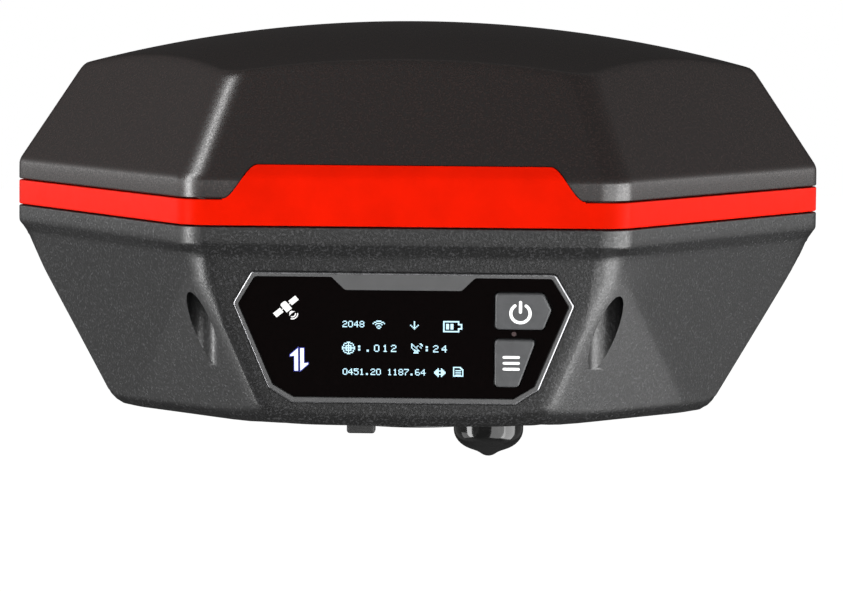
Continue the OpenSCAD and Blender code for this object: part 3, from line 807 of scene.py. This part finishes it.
BEZEL_OUT = [(-24.25, -9.15), (-20.1, -11.9), (20.1, -11.9), (24.25, -9.15), (30.5, 6.7), (27.1, 12.6),
             (-27.1, 12.6), (-30.5, 6.7)]
WINDOW_OUT = [(-23.6, -8.4), (-19.75, -10.8), (19.75, -10.8), (23.6, -8.4), (29.65, 6.6), (26.55, 11.8),
              (12.8, 11.8), (10.4, 9.4), (-10.4, 9.4), (-12.8, 11.8), (-26.55, 11.8), (-29.65, 6.6)]
POWER_OUT = [(16.4, 2.35), (25.0, 2.35), (26.4, 6.05), (24.95, 9.0), (16.4, 9.0)]
FN_OUT = [(16.35, -8.4), (20.6, -8.4), (23.7, 0.4), (16.35, 0.4)]
KEY_GAP = 0.25
KEY_TOP = 0.8


BOARD_X, BOARD_Y = 26, 40               # the main board's posts, in each quarter
PORT_SCREW = 9                          # from the port's middle to each port board screw


def port_outline(half, front, back, radius):
    """A rounded rectangle about the data port, half its width to each side."""
    return rounded(rectangle(PORT_X - half, PORT_Y - front, PORT_X + half, PORT_Y + back), radius)


def open_cavity():
    """The space inside the lower housing, less its posts, pads and panel frame."""
    posts = []
    for sx in (-1, 1):
        for sy in (-1, 1):
            posts.append(rod("well_post", WELL_R + 1.6, 0, PARTING, sx * WELL_X, sy * WELL_Y, 48))
            posts.append(rod("board_post", 3.2, 0, 30.4, sx * BOARD_X, sy * BOARD_Y, 40))
        posts.append(rod("port_post", 2.4, 0, 14.6, PORT_X + sx * PORT_SCREW, PORT_Y, 32))
    posts += [rod("insert_pad", 19.5, 0, insert_high.z - 7.9, n=96),
              rod("jack_pad", 9.5, 0, 11.1, JACK_X, JACK_Y),
              prism("panel_frame", grown(BEZEL_OUT, 2.2), -4.2, 0, PANEL)]
    return cut(housing_cavity(), *posts)


def screw_holes():
    """The four access wells, and the holes for the board, port and insert screws."""
    top = PARTING + 3
    well = [(0, -1), (WELL_R, -1), (WELL_R, WELL_SEAT), (1.7, WELL_SEAT), (1.7, top), (0, top)]
    holes = []
    for sx in (-1, 1):
        for sy in (-1, 1):
            holes.append(revolved("well", well, (sx * WELL_X, sy * WELL_Y), 64))
            holes.append(rod("board_hole", 1.25, 21.4, 31, sx * BOARD_X, sy * BOARD_Y, 24))
        holes.append(rod("port_hole", 0.9, 9.6, 15.6, PORT_X + sx * PORT_SCREW, PORT_Y, 24))
    return holes + [rod("insert_hole", 1.25, 6, 16, x, y, 24) for x, y in INSERT_SCREW_PLACES]


def bottom_housing():
    """The lower housing: faceted shell, boss, wells, panel pocket and the openings of its underside."""
    boss = revolved("boss", [(0, 0), (BOSS_R - 0.4, 0), (BOSS_R - 0.1, 0.1), (BOSS_R, 0.4), (BOSS_R, 4.1),
                             (BOSS_R + 0.15, 4.5), (BOSS_R + 0.7, 4.95), (BOSS_R + 0.7, 6), (0, 6)])
    shell = add(housing_body(), boss)
    recess = [(0, 2), (8.9, 2), (8.9, BASE + 0.05), (8.6, BASE + 0.15), (8.35, BASE + 0.5), (8.3, 8.3),
              (0, 8.3)]
    hinge_y = PORT_HINGE[0]
    holes = [open_cavity(), rod("bore", INSERT_R, -1, 20, n=96),
             revolved("jack_recess", recess, (JACK_X, JACK_Y), 72),
             rod("jack_hole", JACK_R + 0.02, 2, 14, JACK_X, JACK_Y),
             prism("panel_pocket", rounded(grown(BEZEL_OUT, 0.10), 1.1), -2.3, 6, PANEL),
             prism("panel_opening", rounded(grown(BEZEL_OUT, -1.6), 0.6), -12, 1, PANEL)]
    holes += screw_holes()
    holes += [prism("port_seat", port_outline(7.2, 7.2, 8.9, 1.2), 2, BASE + 1.6),
              block("knuckle_space", (PORT_X - 7.2, hinge_y - 1.5, 2), (PORT_X + 7.2, hinge_y + 1.5, 7)),
              prism("port_mouth", port_outline(5.5, 2.9, 2.9, 1.6), 2, 12)]
    cut(shell, *holes)
    return finish_piece(shell, "receiver", HOUSING, ["bottom_housing"], 30)


# ---------- display panel ----------


LAMP_U, LAMP_V = 19.75, 1.4             # the charge lamp, between the keys
MARK = 0.02                             # thickness of a print or a lit area
LIT = 0.105                             # height of the lit areas over the panel's plane


def bezel():
    """A satin frame with a polished outer chamfer, and a ledge that carries the window."""
    plate = prism("display_bezel_frame", rounded(BEZEL_OUT, 1.0), -2.2, 0.42, PANEL)
    for material in (BEZEL, BEZEL_EDGE):
        plate.data.materials.append(material)
    bevel(plate, 0.32, 3, 60, 1)
    cut(plate, prism("opening", rounded(WINDOW_OUT, 0.9), -1.15, 2, PANEL),
        prism("ledge", rounded(grown(WINDOW_OUT, -1.2), 0.5), -4, 0, PANEL))
    return finish_piece(plate, "receiver", [BEZEL, BEZEL_EDGE], ["display_bezel"], 30)


def window():
    outline = rounded(grown(WINDOW_OUT, -0.04), 0.9)
    pane = bevel(prism("display_window_pane", outline, -1.1, 0.1, PANEL), 0.12, 2, 60)
    for key_outline in (POWER_OUT, FN_OUT):
        cut(pane, prism("key_space", rounded(grown(key_outline, KEY_GAP), 0.9), -3, 2, PANEL))
    return finish_piece(pane, "receiver", WINDOW, ["display_window"], 30)


def key(name, outline, body, node):
    """A moulded key: a cap with a wide soft chamfer, on a flanged foot."""
    cap = bevel(prism(name, rounded(outline, 0.85), -1.9, KEY_TOP, PANEL), 0.36, 4, 60)
    flange = cut(prism("flange", rounded(grown(outline, 0.55), 0.9), -1.9, -1.35, PANEL),
                 prism("lamp_space", circle(0.9, 24, LAMP_U, LAMP_V), -3, 0, PANEL))
    add(cap, flange)
    return finish_piece(cap, body, KEYS, [node], 40)


def flat_marks(name, shapes, level, material, body="receiver"):
    """Separate flat shapes on the panel, joined into one piece."""
    verts, faces = [], []
    for outline in shapes:
        base = len(verts)
        n = len(outline)
        verts += [PANEL @ Vector((u, v, w)) for w in (level, level + MARK) for u, v in outline]
        faces += [tuple(base + i for i in range(n - 1, -1, -1)), tuple(base + n + i for i in range(n))]
        faces += quads(n, base, base + n)
    return finish_piece(new_object(name, verts, faces), body, material)


def around(x, y, radius, degrees):
    return (x + radius * cos(radians(degrees)), y + radius * sin(radians(degrees)))


def arc_stroke(cx, cy, radius, width, start, end, n=40):
    """A curved stroke with round ends, from start to end in degrees."""
    turns = [start + (end - start) * k / n for k in range(n + 1)]
    last, first = around(cx, cy, radius, end), around(cx, cy, radius, start)
    outline = [around(cx, cy, radius + width / 2, t) for t in turns]
    outline += [around(*last, width / 2, end + 180 * k / 8) for k in range(1, 8)]
    outline += [around(cx, cy, radius - width / 2, t) for t in reversed(turns)]
    return outline + [around(*first, width / 2, start + 180 + 180 * k / 8) for k in range(1, 8)]


def bar(x0, y0, x1, y1, width):
    """A straight stroke with round ends."""
    heading = degrees(atan2(y1 - y0, x1 - x0))
    ends = ((x1, y1, heading - 90), (x0, y0, heading + 90))
    return [around(x, y, width / 2, turn + 180 * k / 8) for x, y, turn in ends for k in range(9)]


def turned(shapes, cx, cy, degrees):
    """Shapes turned about the origin, then moved."""
    c, s = cos(radians(degrees)), sin(radians(degrees))
    return [[(cx + u * c - v * s, cy + u * s + v * c) for u, v in shape] for shape in shapes]


DIGITS = {
    "0": "01110 10001 10001 10001 10001 10001 01110", "1": "00100 01100 00100 00100 00100 00100 01110",
    "2": "01110 10001 00001 00110 01000 10000 11111", "4": "00010 00110 01010 10010 11111 00010 00010",
    "5": "11111 10000 11110 00001 00001 10001 01110", "6": "01110 10000 10000 11110 10001 10001 01110",
    "7": "11111 00001 00010 00100 01000 01000 01000", "8": "01110 10001 10001 01110 10001 10001 01110",
    ".": "00000 00000 00000 00000 00000 01100 01100", ":": "00000 01100 01100 00000 01100 01100 00000",
    " ": "00000 00000 00000 00000 00000 00000 00000",
}
PICTOGRAMS = {
    "waves": "0001111000 0110000110 1001111001 0010000100 0000110000 0001001000 0000110000",
    "down": "0001000 0001000 0001000 1001001 0101010 0011100 0001000",
    "battery": "1111111111100 1000000000100 1011011000111 1011011000001 1011011000001 1011011000111"
               " 1000000000100 1111111111100",
    "target": "00001110000 00110101100 01000100010 01011111010 10010101001 11111111111 10010101001"
              " 01011111010 01000100010 00110101100 00001110000",
    "dish": "10000000110 11000000011 10100010001 10010100100 10001000010 01000100000 00110010000"
            " 00011111000 00010100000 00111110000",
    "diamond": "000010010000 000110011000 001111111100 011110011110 011110011110 001111111100"
               " 000110011000 000010010000",
    "page": "111111100 100000110 100000011 101111101 100000001 101111101 100000001 101111101 111111111",
}
DOT = 21.7 / 128                        # pitch of the display's dots


def dots(rows, x, y, size=DOT):
    """Rows of 0 and 1 as lit rectangles, one for each run of lit dots. x, y is the top left corner."""
    shapes = []
    for r, line in enumerate(rows.split()):
        start = None
        for c, cell in enumerate(line + "0"):
            if cell == "1" and start is None:
                start = c
            if cell == "0" and start is not None:
                shapes.append(rectangle(x + start * size, y - (r + 0.93) * size, x + c * size, y - r * size))
                start = None
    return shapes


def reading(text, x, y, size=DOT, pitch=6):
    shapes = []
    for k, sign in enumerate(text):
        shapes += dots(DIGITS[sign], x + k * pitch * size, y, size)
    return shapes


def display():
    """Three generic rows: link state and battery, accuracy and satellites, elapsed time and file."""
    left, top = -10.9, 3.55
    shapes = reading("2048", left, top)
    for text, x, y in ((":.012", 2.6, 4.4), (":24", 14.7, 4.4)):
        shapes += reading(text, left + x, top - y, DOT * 1.12, 8)
    shapes += reading("0451.20 1187.64", left, top - 8.9, DOT, 5.9)
    places = [("waves", 5.4, 0.1, 1.3), ("down", 12.1, 0.05, 1.3), ("battery", 18.0, 0.15, 1.55),
              ("target", -0.1, -3.9, 1.25), ("dish", 12.3, -4.1, 1.1), ("diamond", 16.2, -8.7, 1.2),
              ("page", 19.8, -8.4, 1.2)]
    for name, x, y, scale in places:
        shapes += dots(PICTOGRAMS[name], left + x, top + y, DOT * scale)
    return flat_marks("display_readout", shapes, LIT, OLED)


def lamps():
    """The lit satellite and data pictograms, and the small dim lamp between the keys."""
    satellite = [
        [(-0.62, -0.95), (0.62, -0.95), (0.62, 0.75), (0.35, 0.95), (-0.35, 0.95), (-0.62, 0.75)],
        rectangle(-2.6, -0.5, -0.98, 0.5), rectangle(0.98, -0.5, 2.6, 0.5),
        rectangle(-0.92, -0.07, -0.68, 0.07), rectangle(0.68, -0.07, 0.92, 0.07),
        [(-0.65, -1.75), (-0.28, -1.28), (0, -1.18), (0.28, -1.28), (0.65, -1.75), (0.2, -1.62),
         (-0.2, -1.62)],
        arc_stroke(0, -1.7, 0.62, 0.2, -140, -40, 14), arc_stroke(0, -1.7, 1.0, 0.2, -140, -40, 16)]
    flat_marks("satellite_pictogram", turned(satellite, -21.0, 6.1, 40), LIT, LAMP_WHITE)
    arrow = [[(-0.30, -2.1), (0.34, -2.1), (0.34, 2.1), (-1.05, 0.85), (-1.05, 0.62), (-0.30, 0.72)]]
    arrows = turned(arrow, -19.25, -3.75, 0) + turned(arrow, -18.15, -3.75, 180)
    flat_marks("data_arrows", arrows, LIT + MARK, LAMP_BLUE_CORE)
    flat_marks("data_arrows_halo", [grown(shape, 0.14) for shape in arrows], LIT, LAMP_BLUE)
    flat_marks("charge_lamp", [circle(0.42, 24, LAMP_U, LAMP_V)], LIT, LAMP_RED)


def key_prints():
    top = KEY_TOP + 0.005
    power = [arc_stroke(20.9, 5.45, 1.72, 0.56, 125, 415), bar(20.9, 5.7, 20.9, 7.5, 0.56)]
    flat_marks("power_symbol", power, top, PRINT, "power_key")
    menu = [bar(18.0, v, 20.6, v, 0.5) for v in (-2.75, -3.85, -4.95)]
    flat_marks("function_symbol", menu, top, PRINT, "fn_key")


# ---------- underside ----------


def thread_wave(phase):
    """A 60 degree thread's outline with flat crests: 0 at the crest, 1 at the root."""
    phase = phase % 1
    return min(max(abs(phase - 0.5) * 2.6 - 0.3, 0), 1)


def threaded_rows(r_root, r_crest, z0, z1, pitch, centre, n=72, per_pitch=12):
    rows = []
    count = int((z1 - z0) / pitch * per_pitch)
    for k in range(count + 1):
        z = z0 + (z1 - z0) * k / count
        fade = max(min((z - z0) / 0.6, (z1 - z) / 0.6, 1), 0)
        row = []
        for i, (x, y) in enumerate(circle(1, n)):
            r = r_root + (r_crest - r_root) * (1 - thread_wave(z / pitch - i / n)) * fade
            row.append((centre[0] + r * x, centre[1] + r * y, z))
        rows.append(row)
    return rows


def mount_insert():
    """The brass insert: threaded blind hole, barrel and screwed flange."""
    centre = (0, 0)
    top = insert_high.z
    rows = threaded_rows(THREAD_R, THREAD_R - 1.15, 0.9, THREAD_DEPTH - 0.5, THREAD_PITCH, centre)
    outside = [(THREAD_R + 0.35, 0.02), (INSERT_R - 0.3, 0.02), (INSERT_R - 0.05, 0.25),
               (INSERT_R - 0.02, 10.6), (18.8, 10.6), (19, 10.8), (19, 13.4), (18.8, 13.6), (INSERT_R, 13.6),
               (INSERT_R, top - 0.3), (INSERT_R - 0.3, top)]
    rows = rows[::-1] + [ring_row(r, z, centre) for r, z in outside]
    body = lofted("mount_insert_body", rows, (0, 0, THREAD_DEPTH), (0, 0, top))
    cut(body, *[rod("hole", 1.6, 9, 15, x, y, 32) for x, y in INSERT_SCREW_PLACES])
    return finish_piece(body, "receiver", BRASS, ["mount_insert"], 40)


def antenna_connector():
    """The threaded radio connector, with its shoulder and inner socket."""
    centre = (JACK_X, JACK_Y)
    low = jack_low.z
    socket = [(4.3, 7.5), (4.3, low + 0.25), (4.5, low), (JACK_R - 0.65, low), (JACK_R - 0.5, low + 0.2)]
    shoulder = [(JACK_R - 0.5, 11.1), (7.2, 11.1), (7.3, 11.2), (7.3, 13.0), (7.1, 13.1), (2.2, 13.1),
                (2.2, 16.8), (2.0, 17.0)]
    rows = [ring_row(r, z, centre) for r, z in socket]
    rows += threaded_rows(JACK_R - 0.5, JACK_R, low + 0.4, 10.9, JACK_PITCH, centre)
    rows += [ring_row(r, z, centre) for r, z in shoulder]
    body = lofted("antenna_connector_body", rows, (*centre, 7.5), (*centre, 17.0))
    return finish_piece(body, "receiver", BRASS, ["antenna_connector"], 40)


def connector_cap():
    """Dipped vinyl: a glossy cup with a rolled mouth and a drawn-out drip at its closed end."""
    tip = -3.5
    drip = [(0, tip), (0.45, tip + 0.03), (0.85, tip + 0.15), (1.25, tip + 0.36), (1.65, -2.88),
            (2.05, -2.66), (2.6, -2.44), (3.3, -2.2), (4.0, -1.92), (4.6, -1.6), (5.15, -1.2), (5.6, -0.75),
            (5.95, -0.28)]
    side = [(6.22, 0.2), (6.4, 0.75), (6.48, 1.3), (CAP_R, 2.0), (CAP_R, 4.6), (CAP_R - 0.04, 5.2)]
    mouth = [(6.3, 5.5), (6.05, 5.58), (5.75, 5.5), (5.62, 5.2)]
    inner = [(5.6, 4.0), (5.6, 0.6), (5.5, 0.5), (0, 0.5)]
    cap = revolved("connector_dust_cap", drip + side + mouth + inner, (JACK_X, JACK_Y))
    return finish_piece(cap, "dust_cap", VINYL, ["connector_cap"], 50)


def port_cover():
    """The rubber flap: soft plate, plug, hinge knuckle and a grip with rounded edges."""
    y, z = PORT_HINGE
    plate = port_outline(6.8, 6.8, y - PORT_Y, 1.1)
    flap = bevel(prism("port_cover_flap", plate, BASE + 0.05, BASE + 1.3), 0.3, 3, 60)
    grip = block("grip", (PORT_X - 2.6, PORT_Y - 6.8, 2.2), (PORT_X + 2.6, PORT_Y - 3.6, BASE + 0.6))
    bevel(grip, 0.55, 4, 60)
    plug = bevel(prism("plug", port_outline(4.9, 2.2, 2.2, 1.6), BASE + 0.6, BASE + 2.9), 0.3, 3, 60)
    across = Matrix.Translation((PORT_X, y, z)) @ Matrix.Rotation(radians(90), 4, "Y")
    add(flap, prism("knuckle", circle(1.1, 40), -6.8, 6.8, across), grip, plug)
    cut(flap, prism("pin_space", circle(0.55, 40), -9, 9, across))
    return finish_piece(flap, "port_flap", RUBBER, ["port_cover"], 40)


top_cover()
bumper_band()
bottom_housing()
bezel()
window()
key("power_key_cap", POWER_OUT, "power_key", "power_button")
key("fn_key_cap", FN_OUT, "fn_key", "fn_button")
display()
lamps()
key_prints()
mount_insert()
antenna_connector()
connector_cap()
port_cover()

# ---------- camera, floor and light ----------

CAMERA_DISTANCE, CAMERA_HEIGHT = 0.87986, 0.0892
CAMERA_AZIMUTH, CAMERA_PAN, CAMERA_TILT, CAMERA_ROLL = map(radians, (1.986, -0.07, 4.229, 0.45))
LENS, SENSOR = 195.9, 36
FLOOR_Z, FLOOR_EDGE = -1500, 30000
FLOOR_NEAR, FLOOR_MIDDLE, FLOOR_FAR = 0.0, 0.24, 0.15
ROOM, ROOM_BEHIND, ROOM_BELOW, ROOM_LEVEL = 0.18, 0.04, 0.5, 1.7
LIGHT_DISTANCE = 1.3
LIGHT_AIM = Vector((0, 0, 0.035))


def add_camera():
    eye = Vector((CAMERA_DISTANCE * sin(CAMERA_AZIMUTH), -CAMERA_DISTANCE * cos(CAMERA_AZIMUTH),
                  CAMERA_HEIGHT))
    data = bpy.data.cameras.new("camera")
    data.lens = LENS
    data.sensor_width = SENSOR
    data.clip_start = 0.02
    data.clip_end = 60
    camera = bpy.data.objects.new("camera", data)
    turns = [(CAMERA_AZIMUTH + CAMERA_PAN, "Z"), (pi / 2 - CAMERA_TILT, "X"), (CAMERA_ROLL, "Z")]
    place = Matrix.Translation(eye)
    for angle, axis in turns:
        place = place @ Matrix.Rotation(angle, 4, axis)
    camera.matrix_world = place
    scene.collection.objects.link(camera)
    scene.camera = camera


def add_light(name, azimuth, height, size, watts):
    """A soft box at an azimuth from the front, turned towards the object."""
    data = bpy.data.lights.new(name, "AREA")
    data.shape = "RECTANGLE"
    data.size, data.size_y = size
    data.energy = watts
    light = bpy.data.objects.new(name, data)
    a = radians(azimuth)
    place = Vector((LIGHT_DISTANCE * sin(a), -LIGHT_DISTANCE * cos(a), height))
    light.location = place
    light.rotation_euler = (LIGHT_AIM - place).to_track_quat("-Z", "Y").to_euler()
    scene.collection.objects.link(light)


def add_floor():
    """A pale floor, lit like the white sweep around it."""
    look = Look("floor_white", (0.14, 0.14, 0.14), 0.6)
    look.mottled(look.noise(3), 0.98, 1.0)
    axes = look.node("ShaderNodeSeparateXYZ")
    look.link(look.place, axes.inputs[0])
    across = look.formula("ABSOLUTE", axes.outputs["X"])
    along = look.formula("ABSOLUTE", axes.outputs["Y"])
    reach = look.formula("MULTIPLY", look.formula("MULTIPLY_ADD", along, -0.5, across), 0.25)
    zones = [(0.20, FLOOR_NEAR), (0.32, FLOOR_MIDDLE), (0.60, FLOOR_MIDDLE), (0.90, FLOOR_FAR)]
    rays = look.node("ShaderNodeLightPath")
    seen = look.formula("MAXIMUM", look.ramp(reach, zones), rays.outputs["Is Camera Ray"])
    look.link(seen, look.shader.inputs["Emission Color"])
    look.set("Emission Strength", 1.0)
    outline = rectangle(-FLOOR_EDGE, -FLOOR_EDGE, FLOOR_EDGE, FLOOR_EDGE)
    floor = prism("floor", outline, FLOOR_Z - 2, FLOOR_Z)
    floor.data.materials.append(look.material)


def add_world():
    """White behind the object. Its light is dim behind, and brighter below and level with the object."""
    world = bpy.data.worlds.new("studio")
    world.use_nodes = True
    world.node_tree.nodes.clear()
    sky = Nodes(world.node_tree)
    axes = sky.node("ShaderNodeSeparateXYZ")
    sky.link(sky.node("ShaderNodeTexCoord").outputs["Generated"], axes.inputs[0])
    ahead, height = axes.outputs["Y"], axes.outputs["Z"]
    below = sky.ramp(sky.formula("MULTIPLY", height, -1.0), [(0.02, 0.0), (0.15, ROOM_BELOW)])
    dim = sky.formula("MAXIMUM", sky.ramp(ahead, [(0.65, ROOM), (0.90, ROOM_BEHIND)]), below)
    horizon = sky.ramp(sky.formula("ABSOLUTE", height), [(0.06, ROOM_LEVEL), (0.24, 0.0)])
    level = sky.formula("MULTIPLY", horizon, sky.ramp(ahead, [(0.60, 1.0), (0.85, 0.0)]))
    room = sky.node("ShaderNodeBackground")
    sky.link(sky.formula("MAXIMUM", dim, level), room.inputs["Color"])
    backdrop = sky.node("ShaderNodeBackground", Color=(1, 1, 1, 1))
    mix = sky.node("ShaderNodeMixShader")
    sky.link(sky.node("ShaderNodeLightPath").outputs["Is Camera Ray"], mix.inputs["Fac"])
    sky.link(room.outputs[0], mix.inputs[1])
    sky.link(backdrop.outputs[0], mix.inputs[2])
    sky.link(mix.outputs[0], sky.node("ShaderNodeOutputWorld").inputs["Surface"])
    scene.world = world


scene.view_settings.view_transform = "Standard"
add_camera()
add_floor()
add_world()
add_light("left_box", -64, 0.30, (0.45, 2.9), 46)
add_light("left_low_box", -85, -0.62, (0.8, 0.6), 3)
add_light("right_box", 35, -0.38, (1.2, 1.4), 18)
add_light("right_side_box", 76, -0.38, (1.1, 1.4), 30)
